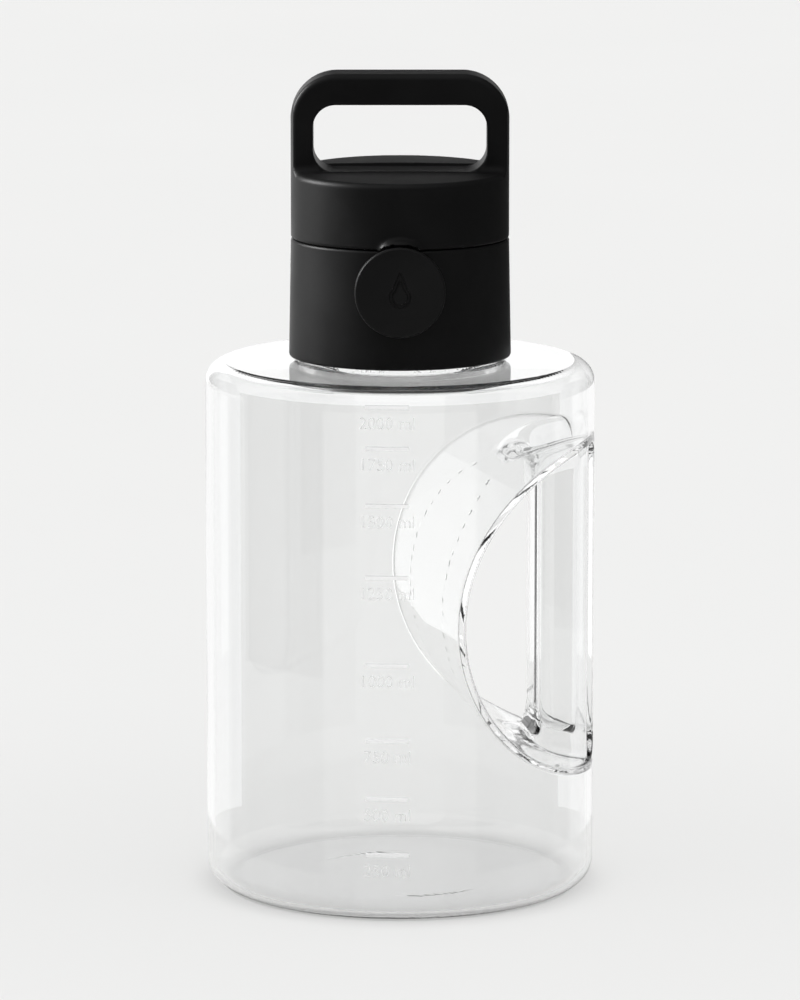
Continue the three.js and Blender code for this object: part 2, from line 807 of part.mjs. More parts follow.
// Coil spring between the slider's lug and its seat, lying along Y.
function buttonSpring(x) {
  const turns = 5;
  const pointsPerTurn = 8;
  const front = SLIDER_FRONT + SLIDER_LUG + GAP + SPRING_WIRE;
  const rear = SPRING_SEAT - GAP - SPRING_WIRE;
  const points = [];
  for (let step = 0; step <= turns * pointsPerTurn; step += 1) {
    const share = step / (turns * pointsPerTurn);
    const angle = 2 * Math.PI * turns * share;
    points.push(
      new THREE.Vector3(
        x + SPRING_RADIUS * Math.cos(angle),
        front + (rear - front) * share,
        SPRING_Z + SPRING_RADIUS * Math.sin(angle),
      ),
    );
  }
  return wire(points, SPRING_WIRE, 1);
}

// ---------------------------------------------------------------- the jug, put together

const CLEAR_PLASTIC = { color: 0xf2f4f4, roughness: 0.05, metalness: 0, transparent: true, opacity: 0.35 };
const BLACK_SATIN = { color: 0x1c1c1d, roughness: 0.45, metalness: 0 };
const DARK_PLASTIC = { color: 0x2c2d2f, roughness: 0.6, metalness: 0 };
const SILICONE = { color: 0xd9dadb, roughness: 0.7, metalness: 0 };
const STEEL = { color: 0xb8babd, roughness: 0.25, metalness: 1 };

const jug = new THREE.Group();

function place(name, solid, finish) {
  const mesh = new THREE.Mesh(geometryOf(solid), new THREE.MeshStandardMaterial(finish));
  mesh.name = name;
  jug.add(mesh);
}

place("jug_body", jugBody(), CLEAR_PLASTIC);
place("neck_gasket", neckGasket(), SILICONE);
place("spout_insert", spoutInsert(), DARK_PLASTIC);
place("lid_collar", lidCollar(), BLACK_SATIN);
place("hinge_pin", hingePin(), STEEL);
place("hinge_spring_left", hingeSpring(-1), STEEL);
place("hinge_spring_right", hingeSpring(1), STEEL);
place("cap_shell", capShell(), BLACK_SATIN);
place("cap_liner", capLiner(), DARK_PLASTIC);
place("spout_seal", spoutSeal(), SILICONE);
place("vent_seal", ventSeal(), SILICONE);
place("button_face", buttonFace(), BLACK_SATIN);
place("latch_slider", latchSlider(), DARK_PLASTIC);
place("button_spring_left", buttonSpring(-SPRING_X), STEEL);
place("button_spring_right", buttonSpring(SPRING_X), STEEL);

export default jug;
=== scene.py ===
"""The look of a large clear water jug with a black push-button flip lid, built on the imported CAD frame."""

import json
import math

import bmesh
import bpy
import numpy as np
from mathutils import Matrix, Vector


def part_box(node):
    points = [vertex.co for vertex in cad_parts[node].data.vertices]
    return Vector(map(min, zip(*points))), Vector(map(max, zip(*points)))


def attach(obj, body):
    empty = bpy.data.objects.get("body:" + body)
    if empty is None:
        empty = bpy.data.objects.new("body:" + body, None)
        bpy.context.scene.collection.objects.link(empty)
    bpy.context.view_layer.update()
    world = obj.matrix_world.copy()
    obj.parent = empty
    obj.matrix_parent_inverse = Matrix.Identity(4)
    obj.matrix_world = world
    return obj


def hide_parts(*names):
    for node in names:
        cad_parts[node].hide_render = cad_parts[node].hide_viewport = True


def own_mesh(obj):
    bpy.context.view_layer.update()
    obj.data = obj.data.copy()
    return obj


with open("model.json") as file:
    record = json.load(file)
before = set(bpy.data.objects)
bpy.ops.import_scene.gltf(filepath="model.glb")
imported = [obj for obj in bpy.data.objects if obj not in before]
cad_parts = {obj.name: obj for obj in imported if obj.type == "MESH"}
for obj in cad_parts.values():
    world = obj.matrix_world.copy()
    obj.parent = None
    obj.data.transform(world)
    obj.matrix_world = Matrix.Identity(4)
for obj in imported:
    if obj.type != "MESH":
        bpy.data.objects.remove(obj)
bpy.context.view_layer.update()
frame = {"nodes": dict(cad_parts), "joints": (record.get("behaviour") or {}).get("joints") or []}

MM = 0.001

# ------------------------------------------------------------------ sizes, in millimetres


def box_mm(node):
    low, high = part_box(node)
    return np.array(low) / MM, np.array(high) / MM


def joint_named(name):
    return next(j for j in frame["joints"] if j["name"] == name)


JUG_LOW, JUG_HIGH = box_mm("jug_body")
COLLAR_LOW, COLLAR_HIGH = box_mm("lid_collar")
CAP_LOW, CAP_HIGH = box_mm("cap_shell")
BUTTON_LOW, BUTTON_HIGH = box_mm("button_face")
INSERT_LOW, INSERT_HIGH = box_mm("spout_insert")
LINER_LOW, LINER_HIGH = box_mm("cap_liner")
HINGE_AXIS = np.array(joint_named("cap_flip")["pos_m"]) / MM

BODY_RADIUS = (JUG_HIGH[0] - JUG_LOW[0]) / 2
NECK_TOP = JUG_HIGH[2]
NECK_HEIGHT = 24.0
BODY_HEIGHT = NECK_TOP - NECK_HEIGHT
BASE_FILLET = 9.0
SHOULDER_FILLET = 7.5
BODY_WALL = 2.3
NECK_RADIUS = 33.2
NECK_BEAD_RADIUS = 34.9
NECK_BEAD_HEIGHT = 2.9
NECK_BORE = 29.8
NECK_ROOT = 8.0
NECK_EDGE = 0.5
NECK_FILLET = 1.2
RIM_EDGE = 1.0
BORE_DEPTH = 30.0
BORE_FILLET = 5.0
HANDLE_TURN = math.radians(10.0)
TUNNEL_RADIUS = 56.0
TUNNEL_HEIGHT = 100.3
TUNNEL_EDGE = 0.8
POST_INNER_FACE = 46.0
POST_HALF_WIDTH = 12.5
POST_CORNER = 6.5
POST_WALL = 2.0
POST_FILLET = 12.0

THREAD_LEAD = 8.0
THREAD_STARTS = 2
THREAD_PITCH = THREAD_LEAD / THREAD_STARTS
THREAD_START = NECK_TOP - 17.5
THREAD_HEIGHT = 7.4
THREAD_FADE = 1.2
THREAD_FLATTENING = 1.25
# inset: how far a rib's middle lies inside its wall. sunk: how far its faded ends draw in.
THREAD_RIB = {"inset": 0.2, "size": 1.15, "sunk": 0.25, "fillet": 0.5}
SLEEVE_RIB = {"inset": 0.1, "size": 1.0, "sunk": 0.3, "fillet": 0.3}
THREAD_ZONE = 20.0
THREAD_ZONE_END = 7.0
THREAD_MARGIN = 1.5
RIM_MARGIN = 4.0
POST_MARGIN = 3.0
POST_PAST_TUNNEL = 6.0

CAP_RADIUS = 37.35
CAP_WALL = 2.2
CAP_ROOF = 3.0
PARTING = HINGE_AXIS[2]
PARTING_HALF_GAP = 0.15
DECK_EDGE = 248.65
DECK_FILLET = 1.9
DECK_DOME = 0.6
DECK_SLOPE = 0.018
LOOP_TOP = CAP_HIGH[2]
LOOP_CORNER = 16.0
LOOP_HALF_DEPTH = 9.0
LOOP_EDGE = 2.2
LOOP_FILLET = 3.5
LOOP_ROOT = 4.0
WINDOW_HALF_WIDTH = 29.6
WINDOW_BOTTOM = 248.7
WINDOW_TOP = 271.6
WINDOW_CORNER = 7.7
WINDOW_EDGE = 1.2
BROW_SIZE = (6.7, 3.2, 3.9)
BROW_CENTRE_Y = -37.0

COLLAR_BORE = 36.25
COLLAR_DECK = 2.85
SPOUT_Y = -4.0
VENT_Y = 20.0
SPOUT_RADIUS = 13.0
SPOUT_BORE = 11.0
VENT_RADIUS = 3.4
VENT_BORE = 1.3
VENT_TOP = 224.6
ROUND_GAP = 0.35
HOLE_DEPTH = 6.0
CATCH_SLOT_Y = -28.75
CATCH_SLOT_HALF = (4.7, 3.55)
STEM_ROOM = ((-5.7, -45, 213.8), (5.7, -30, 219.2))
STEM_HALF_WIDTH = 5.0
STEM_LEVELS = (214.5, 218.5)

PIN_HOLE = 1.3
KNUCKLE_RADIUS = 3.2
KNUCKLE_ROOM = 3.6
KNUCKLE_HALF_WIDTH = 4.3
LUG_START = 9.4
LUG_END = 13.6
LUG_DROP = 11.4
WEB_Y = (33.6, 36.9)
WEB_HEIGHT = 7.2
SPRING_POCKET_HALF = 9.05
SPRING_LEG_ROOM = ((32.2, 221.0), (35.8, 227.0))
HINGE_SLOT_HALF = 13.95
PAST_THE_RIM = 10.0
PAST_ANY_SIDE = 20.0
BELOW_ALL = 30.0

BUTTON_BACK_RADIUS = 40.65
BUTTON_EDGE = 0.8
INSERT_DECK = (209.3, 211.5)
INSERT_BORE = 34.55
RAIL_X = 10.4
RAIL_TOP = 219.75
LINER_PLATE = (226.05, 228.05)
LINER_CUP_RADIUS = 16.3
LINER_CUP_WALL = 1.5
LINER_VENT_HOLE = 2.0
LINER_NOTCH = ((27.5, 220), (40, 232))

# ------------------------------------------------------------------ distance fields, in millimetres


def blended_min(a, b, size):
    """The union of two fields with a fillet of about this size where they meet."""
    share = np.maximum(size - np.abs(a - b), 0.0) / size
    return np.minimum(a, b) - share * share * size / 4


def blended_max(a, b, size):
    """The overlap of two fields with an edge rounded by about this size."""
    return -blended_min(-a, -b, size)


def cut_by(a, b, size):
    """Field a with field b taken out of it, with the new edge rounded."""
    return blended_max(a, -b, size)


def rounded_box(u, v, half_u, half_v, radius):
    """A flat rectangle with round corners. The radius may be an array."""
    qu = np.abs(u) - half_u + radius
    qv = np.abs(v) - half_v + radius
    outside = np.hypot(np.maximum(qu, 0), np.maximum(qv, 0))
    return np.minimum(np.maximum(qu, qv), 0) + outside - radius


def deepened(flat, across, half_depth, edge):
    """A flat field given depth on both sides of its plane, with rounded edges."""
    q1 = flat + edge
    q2 = np.abs(across) - half_depth + edge
    outside = np.hypot(np.maximum(q1, 0), np.maximum(q2, 0))
    return np.minimum(np.maximum(q1, q2), 0) + outside - edge


def upright_disc(x, y, z, radius, bottom, top, edge, centre_y=0.0):
    """A round bar along Z with rounded rims."""
    r = np.hypot(x, y - centre_y)
    return rounded_box(r, z - (bottom + top) / 2, radius, (top - bottom) / 2, edge)


def bar_along_x(x, y, z, radius, half_length, edge=0.2):
    r = np.hypot(y - HINGE_AXIS[1], z - HINGE_AXIS[2])
    return rounded_box(r, x, radius, half_length, edge)


def block(x, y, z, low, high, edge=0.3):
    mid = [(a + b) / 2 for a, b in zip(low, high)]
    half = [(b - a) / 2 for a, b in zip(low, high)]
    q = [np.abs(c - m) - h + edge for c, m, h in zip((x, y, z), mid, half)]
    outside = np.sqrt(sum(np.maximum(part, 0) ** 2 for part in q))
    return np.minimum(np.maximum(np.maximum(q[0], q[1]), q[2]), 0) + outside - edge


# ------------------------------------------------------------------ from a field to a mesh

PROJECT_ROUNDS = 5
RELAX_ROUNDS = 3
RELAX_SHARE = 0.5
SLOPE_STEP = 0.02
LEAST_SLOPE_SQUARE = 0.05
MARGIN_STEPS = 1.5
TINY = 1e-9


def corner_slices(offset, counts):
    return tuple(slice(o, o + n - 1) for o, n in zip(offset, counts))


def cell_vertices(values, mixed, low, step):
    """One vertex in each cell that the surface crosses, at the middle of its edge crossings."""
    cells = np.argwhere(mixed)
    total = np.zeros((len(cells), 3))
    count = np.zeros(len(cells))
    for axis in range(3):
        others = [a for a in range(3) if a != axis]
        for first in (0, 1):
            for second in (0, 1):
                start = np.zeros(3, int)
                start[others[0]], start[others[1]] = first, second
                end = start.copy()
                end[axis] = 1
                a = values[tuple((cells + start).T)]
                b = values[tuple((cells + end).T)]
                crossed = (a < 0) != (b < 0)
                share = np.where(crossed, a / np.where(crossed, a - b, 1.0), 0.0)
                point = cells + start + share[:, None] * (end - start)
                total[crossed] += point[crossed]
                count[crossed] += 1
    return np.array(low) + step * total / count[:, None]


def cell_faces(inside, ids):
    """A quad round each grid edge that the surface crosses."""
    faces = []
    for axis in range(3):
        b, c = (axis + 1) % 3, (axis + 2) % 3
        near = [slice(1, -1)] * 3
        far = [slice(1, -1)] * 3
        near[axis] = slice(0, -1)
        far[axis] = slice(1, None)
        crossed = inside[tuple(near)] != inside[tuple(far)]
        at = np.argwhere(crossed)
        offset = np.ones(3, int)
        offset[axis] = 0
        at = at + offset
        outwards = inside[tuple(at.T)]
        unit_b, unit_c = np.eye(3, dtype=int)[b], np.eye(3, dtype=int)[c]
        ring = [at - unit_b - unit_c, at - unit_c, at, at - unit_b]
        quad = np.stack([ids[tuple(corner.T)] for corner in ring], 1)
        quad[~outwards] = quad[~outwards][:, ::-1]
        faces.append(quad)
    return np.concatenate(faces)


def slope(field, points):
    gradient = np.empty_like(points)
    for axis in range(3):
        shift = np.zeros(3)
        shift[axis] = SLOPE_STEP
        ahead = field(*(points + shift).T)
        behind = field(*(points - shift).T)
        gradient[:, axis] = (ahead - behind) / (2 * SLOPE_STEP)
    return gradient


def settle(field, points, reach):
    """Moves points straight onto the field's surface."""
    for _ in range(PROJECT_ROUNDS):
        gradient = slope(field, points)
        square = np.maximum((gradient**2).sum(1), LEAST_SLOPE_SQUARE)
        move = -(field(*points.T) / square)[:, None] * gradient
        length = np.linalg.norm(move, axis=1, keepdims=True)
        points = points + move * np.minimum(1.0, reach / np.maximum(length, TINY))
    return points


def relaxed(points, faces):
    """Each point moved half way to the middle of its neighbours."""
    pairs = np.concatenate([faces[:, [i, (i + 1) % 4]] for i in range(4)])
    ends = np.concatenate([pairs, pairs[:, ::-1]])
    total = np.stack([np.bincount(ends[:, 0], points[ends[:, 1], k], len(points)) for k in range(3)], 1)
    count = np.bincount(ends[:, 0], minlength=len(points))[:, None]
    return points + RELAX_SHARE * (total / np.maximum(count, 1) - points)


def net(field, low, high, step):
    """The field's surface as points and quads."""
    low = np.array(low) - MARGIN_STEPS * step
    counts = np.ceil((np.array(high) + MARGIN_STEPS * step - low) / step).astype(int) + 1
    axes = [low[i] + step * np.arange(counts[i]) for i in range(3)]
    values = field(*np.meshgrid(*axes, indexing="ij"))
    inside = values < 0
    corners = [inside[corner_slices(o, counts)] for o in np.ndindex(2, 2, 2)]
    some = np.logical_or.reduce(corners)
    every = np.logical_and.reduce(corners)
    mixed = some & ~every
    ids = np.full(mixed.shape, -1)
    ids[mixed] = np.arange(mixed.sum())
    points = cell_vertices(values, mixed, low, step)
    return points, cell_faces(inside, ids)


def finer(points, faces, chosen):
    """Splits every quad whose corners are all chosen, and its neighbours' shared edges with it."""
    mesh = bpy.data.meshes.new("finer")
    mesh.from_pydata(points.tolist(), [], faces.tolist())
    work = bmesh.new()
    work.from_mesh(mesh)
    work.verts.ensure_lookup_table()
    edges = [e for e in work.edges if chosen[e.verts[0].index] and chosen[e.verts[1].index]]
    bmesh.ops.subdivide_edges(work, edges=edges, cuts=1, use_grid_fill=True)
    bmesh.ops.triangulate(work, faces=[f for f in work.faces if len(f.verts) > 4])
    work.to_mesh(mesh)
    work.free()
    return mesh


def shaped(name, field, low, high, step, fine_where=None):
    """A smooth closed piece from a distance field, with its exact surface directions as normals."""
    points, faces = net(field, low, high, step)
    for _ in range(RELAX_ROUNDS):
        points = relaxed(settle(field, points, step / 2), faces)
    points = settle(field, points, step / 2)
    if fine_where is None:
        mesh = bpy.data.meshes.new(name)
        mesh.from_pydata(points.tolist(), [], faces.tolist())
    else:
        mesh = finer(points, faces, fine_where(*points.T))
        mesh.name = name
        points = np.array([v.co for v in mesh.vertices])
        points = settle(field, points, step / 2)
    mesh.vertices.foreach_set("co", (points * MM).ravel())
    mesh.update()
    mesh.polygons.foreach_set("use_smooth", np.ones(len(mesh.polygons), bool))
    normals = slope(field, points)
    normals /= np.maximum(np.linalg.norm(normals, axis=1, keepdims=True), TINY)
    mesh.normals_split_custom_set_from_vertices(normals.tolist())
    piece = bpy.data.objects.new(name, mesh)
    bpy.context.scene.collection.objects.link(piece)
    return piece


# ------------------------------------------------------------------ materials


def fill_ramp(color_ramp, stops):
    """Gives a colour ramp these stops, each a position and a colour."""
    elements = color_ramp.elements
    while len(elements) < len(stops):
        elements.new(0.5)
    for element, (position, colour) in zip(elements, stops):
        element.position = position
        element.color = (*colour, 1.0)


class Nodes:
    """A short way to write a procedural material."""

    def __init__(self, name):
        self.material = bpy.data.materials.new(name)
        self.material.use_nodes = True
        self.tree = self.material.node_tree
        self.tree.nodes.clear()
        self.shader = self.add("ShaderNodeBsdfPrincipled")
        output = self.add("ShaderNodeOutputMaterial")
        self.link(self.shader.outputs["BSDF"], output.inputs["Surface"])
        self.place = self.add("ShaderNodeTexCoord").outputs["Object"]

    def add(self, kind, **settings):
        node = self.tree.nodes.new(kind)
        for key, value in settings.items():
            setattr(node, key, value)
        return node

    def link(self, source, target):
        self.tree.links.new(source, target)

    def set(self, **values):
        for key, value in values.items():
            self.shader.inputs[key.replace("_", " ")].default_value = value

    def noise(self, scale, detail=2.0):
        node = self.add("ShaderNodeTexNoise")
        node.inputs["Scale"].default_value = scale
        node.inputs["Detail"].default_value = detail
        self.link(self.place, node.inputs["Vector"])
        return node.outputs["Fac"]

    def ranged(self, value, low, high, start=0.0, stop=1.0):
        node = self.add("ShaderNodeMapRange")
        node.inputs["From Min"].default_value = start
        node.inputs["From Max"].default_value = stop
        node.inputs["To Min"].default_value = low
        node.inputs["To Max"].default_value = high
        self.link(value, node.inputs["Value"])
        return node.outputs["Result"]

    def ramp(self, value, stops):
        node = self.add("ShaderNodeValToRGB")
        fill_ramp(node.color_ramp, stops)
        self.link(value, node.inputs["Fac"])
        return node.outputs["Color"]

    def bump(self, height, strength, distance):
        node = self.add("ShaderNodeBump")
        node.inputs["Strength"].default_value = strength
        node.inputs["Distance"].default_value = distance
        self.link(height, node.inputs["Height"])
        return node.outputs["Normal"]


def clear_plastic(name):
    m = Nodes(name)
    m.set(Base_Color=(0.967, 0.970, 0.969, 1.0), Transmission_Weight=1.0, IOR=1.5)
    handling = m.noise(28.0, detail=4.0)
    m.link(m.ranged(handling, 0.004, 0.03, 0.45, 0.75), m.shader.inputs["Roughness"])
    flow = m.noise(9.0, detail=1.0)
    m.link(m.bump(flow, 0.05, 0.0015), m.shader.inputs["Normal"])
    return m.material


def black_satin(name, tone, grain=1.0):
    """Black moulded plastic with a very fine matte grain."""
    m = Nodes(name)
    m.set(IOR=1.22)
    broad = m.noise(45.0, detail=3.0)
    fine = m.noise(5200.0, detail=2.0)
    dark = tuple(0.85 * part for part in tone)
    light = tuple(1.2 * part for part in tone)
    m.link(m.ramp(broad, [(0.3, dark), (0.75, light)]), m.shader.inputs["Base Color"])
    m.link(m.ranged(broad, 0.40, 0.50, 0.3, 0.7), m.shader.inputs["Roughness"])
    m.link(m.bump(fine, 0.12 * grain, 0.00005), m.shader.inputs["Normal"])
    return m.material


def silicone(name):
    m = Nodes(name)
    m.set(IOR=1.41, Subsurface_Weight=0.15, Subsurface_Scale=0.002)
    dust = m.noise(90.0, detail=4.0)
    tone = m.ramp(dust, [(0.35, (0.52, 0.53, 0.53)), (0.7, (0.66, 0.67, 0.67))])
    m.link(tone, m.shader.inputs["Base Color"])
    m.link(m.ranged(dust, 0.5, 0.68), m.shader.inputs["Roughness"])
    m.link(m.bump(m.noise(1800.0), 0.15, 0.00004), m.shader.inputs["Normal"])
    return m.material


def drawn_steel(name):
    m = Nodes(name)
    m.set(Metallic=1.0)
    stretch = m.add("ShaderNodeMapping")
    stretch.inputs["Scale"].default_value = (40.0, 3000.0, 3000.0)
    m.link(m.place, stretch.inputs["Vector"])
    lines = m.add("ShaderNodeTexNoise")
    lines.inputs["Scale"].default_value = 1.0
    lines.inputs["Detail"].default_value = 3.0
    m.link(stretch.outputs["Vector"], lines.inputs["Vector"])
    streaks = lines.outputs["Fac"]
    tone = m.ramp(streaks, [(0.3, (0.48, 0.48, 0.49)), (0.7, (0.66, 0.66, 0.67))])
    m.link(tone, m.shader.inputs["Base Color"])
    m.link(m.ranged(streaks, 0.18, 0.34), m.shader.inputs["Roughness"])
    m.link(m.bump(streaks, 0.2, 0.00003), m.shader.inputs["Normal"])
    return m.material


def frosted_plastic(name):
    m = Nodes(name)
    m.set(Base_Color=(1.0, 1.0, 1.0, 1.0), Transmission_Weight=0.75, IOR=1.5)
    grain = m.noise(900.0, detail=3.0)
    m.link(m.ranged(grain, 0.3, 0.5), m.shader.inputs["Roughness"])
    m.link(m.bump(grain, 0.3, 0.0001), m.shader.inputs["Normal"])
    return m.material


CLEAR = clear_plastic("clear_plastic")
FROSTED = frosted_plastic("frosted_marks")
BLACK = black_satin("black_satin", (0.0045, 0.0045, 0.0046))
BLACK_BUTTON = black_satin("black_button", (0.0055, 0.0055, 0.0056), grain=0.7)
INNER = black_satin("inner_plastic", (0.021, 0.022, 0.024), grain=0.5)
SEAL = silicone("seal_silicone")
STEEL = drawn_steel("drawn_steel")


def finish_piece(piece, material, body, slot, *nodes):
    piece.data.materials.clear()
    piece.data.materials.append(material)
    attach(piece, body)
    if nodes:
        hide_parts(*nodes)
    return piece


def repaint(node, material):
    """A CAD node that stays gets a finished material in its slots."""
    slots = frame["nodes"][node].material_slots
    for index in range(len(slots)):
        slots[index].material = material


# ------------------------------------------------------------------ jug body


def along_handle(x, y):
    """The distance out along the handle's direction, and the distance sideways from it."""
    c, s = math.cos(HANDLE_TURN), math.sin(HANDLE_TURN)
    return c * x + s * y, c * y - s * x


def vessel_field(x, y, z, inset):
    r = np.hypot(x, y)
    radius = np.where(z > BODY_HEIGHT / 2, SHOULDER_FILLET, BASE_FILLET) - inset
    return rounded_box(r, z - BODY_HEIGHT / 2, BODY_RADIUS - inset, BODY_HEIGHT / 2 - inset, radius)


def post_field(x, y, inset):
    out, side = along_handle(x, y)
    far = BODY_RADIUS + BASE_FILLET
    middle, half = (POST_INNER_FACE + far) / 2, (far - POST_INNER_FACE) / 2
    return rounded_box(out - middle, side, half - inset, POST_HALF_WIDTH - inset, POST_CORNER - inset)


def tunnel_field(x, y, z):
    """A round bar across the handle's direction, where the fingers go."""
    out, _ = along_handle(x, y)
    return np.hypot(out - BODY_RADIUS, z - TUNNEL_HEIGHT) - TUNNEL_RADIUS


def grip_field(x, y, z, wall):
    """The body with its tunnel cut and its post left standing, drawn in by the wall."""
    tunnel = tunnel_field(x, y, z) - wall
    post_wall = POST_WALL if wall else 0.0
    opening = cut_by(tunnel, post_field(x, y, post_wall), POST_FILLET - wall)
    return cut_by(vessel_field(x, y, z, wall), opening, TUNNEL_EDGE)


def thread_rib(x, y, z, start, radius, size, sunk):
    """Ribs wound round a wall of this radius, fading into it at their ends."""
    turn = np.arctan2(y, x) / (2 * math.pi)
    rise = np.mod(z - start - THREAD_LEAD * turn + THREAD_PITCH / 2, THREAD_PITCH) - THREAD_PITCH / 2
    fade = np.clip(np.minimum(z - start + THREAD_FADE / 2, start + THREAD_HEIGHT - z) / THREAD_FADE, 0, 1)
    return np.hypot(np.hypot(x, y) - radius, rise * THREAD_FLATTENING) - size * fade + sunk * (1 - fade)


def jug_field(x, y, z):
    outer = grip_field(x, y, z, 0.0)
    root = BODY_HEIGHT - NECK_ROOT
    bead_top = BODY_HEIGHT + NECK_BEAD_HEIGHT
    bead = upright_disc(x, y, z, NECK_BEAD_RADIUS, root, bead_top, NECK_EDGE)
    neck = upright_disc(x, y, z, NECK_RADIUS, root, NECK_TOP, NECK_EDGE)
    rib_radius = NECK_RADIUS - THREAD_RIB["inset"]
    ribs = thread_rib(x, y, z, THREAD_START, rib_radius, THREAD_RIB["size"], THREAD_RIB["sunk"])
    neck = blended_min(neck, ribs, THREAD_RIB["fillet"])
    outer = blended_min(outer, np.minimum(bead, neck), NECK_FILLET)
    hollow = grip_field(x, y, z, BODY_WALL)
    bore_bottom, bore_top = BODY_HEIGHT - BORE_DEPTH, NECK_TOP + PAST_THE_RIM
    bore = upright_disc(x, y, z, NECK_BORE, bore_bottom, bore_top, NECK_EDGE)
    hollow = blended_min(hollow, bore, BORE_FILLET)
    return cut_by(outer, hollow, RIM_EDGE)


def near_small_detail(x, y, z):
    """True by the thread, the tunnel's rim and the post, where the jug's surface bends most."""
    by_neck = (z > NECK_TOP - THREAD_ZONE) & (z < NECK_TOP - THREAD_ZONE_END)
    thread = by_neck & (np.hypot(x, y) > NECK_RADIUS - THREAD_MARGIN)
    tunnel = tunnel_field(x, y, z)
    near_side = np.abs(vessel_field(x, y, z, 0.0)) < RIM_MARGIN
    rim = (np.abs(tunnel) < RIM_MARGIN) & near_side
    post = (np.abs(post_field(x, y, 0.0)) < POST_MARGIN) & (tunnel < POST_PAST_TUNNEL)
    return thread | rim | post


def make_jug_body():
    piece = shaped(
        "clear_jug",
        jug_field,
        (-BODY_RADIUS, -BODY_RADIUS, 0),
        (BODY_RADIUS, BODY_RADIUS, NECK_TOP),
        step=1.1,
        fine_where=near_small_detail,
    )
    piece.visible_shadow = False
    piece.visible_diffuse = False
    return finish_piece(piece, CLEAR, "jug", "clear_body", "jug_body")


# ------------------------------------------------------------------ lid


def hinge_lug_field(x, y, z):
    """The lugs beside the spring pocket: round at the pin, tapering down onto the collar."""
    middle, half = (LUG_START + LUG_END) / 2, (LUG_END - LUG_START) / 2
    across = np.abs(np.abs(x) - middle)
    knuckle = np.hypot(y - HINGE_AXIS[1], z - HINGE_AXIS[2]) - KNUCKLE_RADIUS
    drop = np.clip(PARTING - z, 0, LUG_DROP) / LUG_DROP
    forward, lean, narrowing = 0.9, 0.6, 2.6
    taper = np.abs(y - HINGE_AXIS[1] + forward + lean * drop) - KNUCKLE_RADIUS + narrowing * drop
    foot = blended_max(taper, np.maximum(z - PARTING, PARTING - LUG_DROP - z), 0.4)
    return deepened(blended_min(knuckle, foot, 1.2), across, half, 0.4)


def collar_skirt(x, y, z):
    """The tapering wall and the deck, hollow below."""
    top = PARTING - PARTING_HALF_GAP
    bottom = COLLAR_LOW[2]
    foot_radius = COLLAR_HIGH[0]
    share = np.clip((z - bottom) / (top - bottom), 0, 1)
    wall = np.hypot(x, y) - (foot_radius + (CAP_RADIUS - foot_radius) * share)
    solid = blended_max(wall, np.maximum(z - top, bottom - z), 0.9)
    hollow = upright_disc(x, y, z, COLLAR_BORE, bottom - BELOW_ALL, top - COLLAR_DECK, 0.6)
    return cut_by(solid, hollow, 0.5)


def collar_holes(x, y, z):
    """Holes in the deck for the spout, the vent and the catch."""
    spout_hole = np.hypot(x, y - SPOUT_Y) - SPOUT_RADIUS - ROUND_GAP
    vent_hole = np.hypot(x, y - VENT_Y) - VENT_RADIUS - ROUND_GAP
    catch_slot = rounded_box(x, y - CATCH_SLOT_Y, *CATCH_SLOT_HALF, 0.5)
    holes = np.minimum(np.minimum(spout_hole, vent_hole), catch_slot)
    return np.maximum(holes, PARTING - HOLE_DEPTH - z)


def collar_field(x, y, z):
    solid = cut_by(collar_skirt(x, y, z), collar_holes(x, y, z), 0.5)
    solid = cut_by(solid, block(x, y, z, *STEM_ROOM), 0.4)
    pocket = bar_along_x(x, y, z, KNUCKLE_ROOM, SPRING_POCKET_HALF)
    leg_low, leg_high = SPRING_LEG_ROOM
    leg = block(x, y, z, (-SPRING_POCKET_HALF, *leg_low), (SPRING_POCKET_HALF, *leg_high))
    solid = cut_by(solid, np.minimum(pocket, leg), 0.3)
    solid = np.minimum(solid, hinge_lug_field(x, y, z))
    return cut_by(solid, bar_along_x(x, y, z, PIN_HOLE, PAST_ANY_SIDE), 0.2)


def make_collar():
    piece = shaped("collar_skin", collar_field, COLLAR_LOW, COLLAR_HIGH, step=0.75)
    return finish_piece(piece, BLACK, "lid", "lid_black", "lid_collar")


def deck_height(x, y):
    """The cap's deck: a shallow dome that rises slightly towards the rear."""
    spread = np.minimum(np.hypot(x, y) / CAP_RADIUS, 1.0)
    return DECK_EDGE + DECK_DOME * (1 - spread**2) + DECK_SLOPE * y


def cap_and_loop(x, y, z, bottom):
    """The cap's body with the carry loop's plate growing out of its deck."""
    r = np.hypot(x, y)
    body = rounded_box(r, z - deck_height(x, y) + BELOW_ALL, CAP_RADIUS, BELOW_ALL, DECK_FILLET)
    body = blended_max(body, bottom - z, 0.7)
    outline_half = 40.0
    outline = rounded_box(x, z - LOOP_TOP + outline_half, CAP_RADIUS, outline_half, LOOP_CORNER)
    loop = deepened(outline, y, LOOP_HALF_DEPTH, LOOP_EDGE)
    loop = np.maximum(loop, DECK_EDGE - LOOP_ROOT - z)
    return np.maximum(blended_min(body, loop, LOOP_FILLET), r - CAP_RADIUS)


def loop_window(x, y, z):
    middle = (WINDOW_BOTTOM + WINDOW_TOP) / 2
    half = (WINDOW_TOP - WINDOW_BOTTOM) / 2
    window = rounded_box(x, z - middle, WINDOW_HALF_WIDTH, half, WINDOW_CORNER)
    return np.maximum(window, np.abs(y) - LOOP_HALF_DEPTH - 0.6)


def brow_field(x, y, z, bottom):
    """The small round hood over the top of the button."""
    across, depth, height = BROW_SIZE
    shape = np.sqrt((x / across) ** 2 + ((y - BROW_CENTRE_Y) / depth) ** 2 + ((z - bottom) / height) ** 2)
    return np.maximum((shape - 1.0) * depth, bottom - z)


